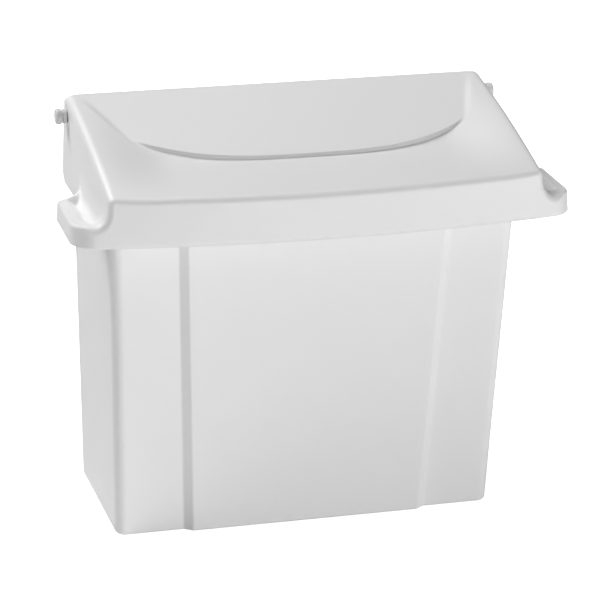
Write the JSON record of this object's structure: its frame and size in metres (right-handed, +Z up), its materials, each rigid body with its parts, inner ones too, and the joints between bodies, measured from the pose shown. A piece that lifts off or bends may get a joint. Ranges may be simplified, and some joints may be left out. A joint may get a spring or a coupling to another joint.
{
  "type": "wall-mounted waste bin",
  "caption": "Wall-mounted plastic waste bin: tapered shell with a raised front panel, sloping hinged hood lid with flared grip brim, lift-out liner.",
  "frame": {"origin": "centre of the overall footprint at the level of the underside", "axes": "+X to the right seen from the front, the front faces -Y, the flat back faces +Y, +Z up"},
  "size_m": [0.3174, 0.148, 0.2648],
  "materials": {
    "body_plastic": "satin-gloss moulded white",
    "lid_plastic": "satin-gloss moulded white",
    "pin_plastic": "satin moulded white",
    "liner_plastic": "matte moulded pale grey"
  },
  "bodies": {
    "bin": {"bin_body": "body_plastic", "hinge_pin_left": "pin_plastic", "hinge_pin_right": "pin_plastic"},
    "lid": {"lid": "lid_plastic"},
    "liner": {"liner": "liner_plastic"}
  },
  "joints": [
    {"name": "lid_hinge", "type": "hinge", "parent": "bin", "child": "lid", "pos_m": [0, 0.061, 0.2525], "axis": [-1, 0, 0], "range_deg": [0, 100]},
    {"name": "liner_lift", "type": "slide", "parent": "bin", "child": "liner", "axis": [0, 0, 1], "range_m": [0, 0.018]}
  ]
}
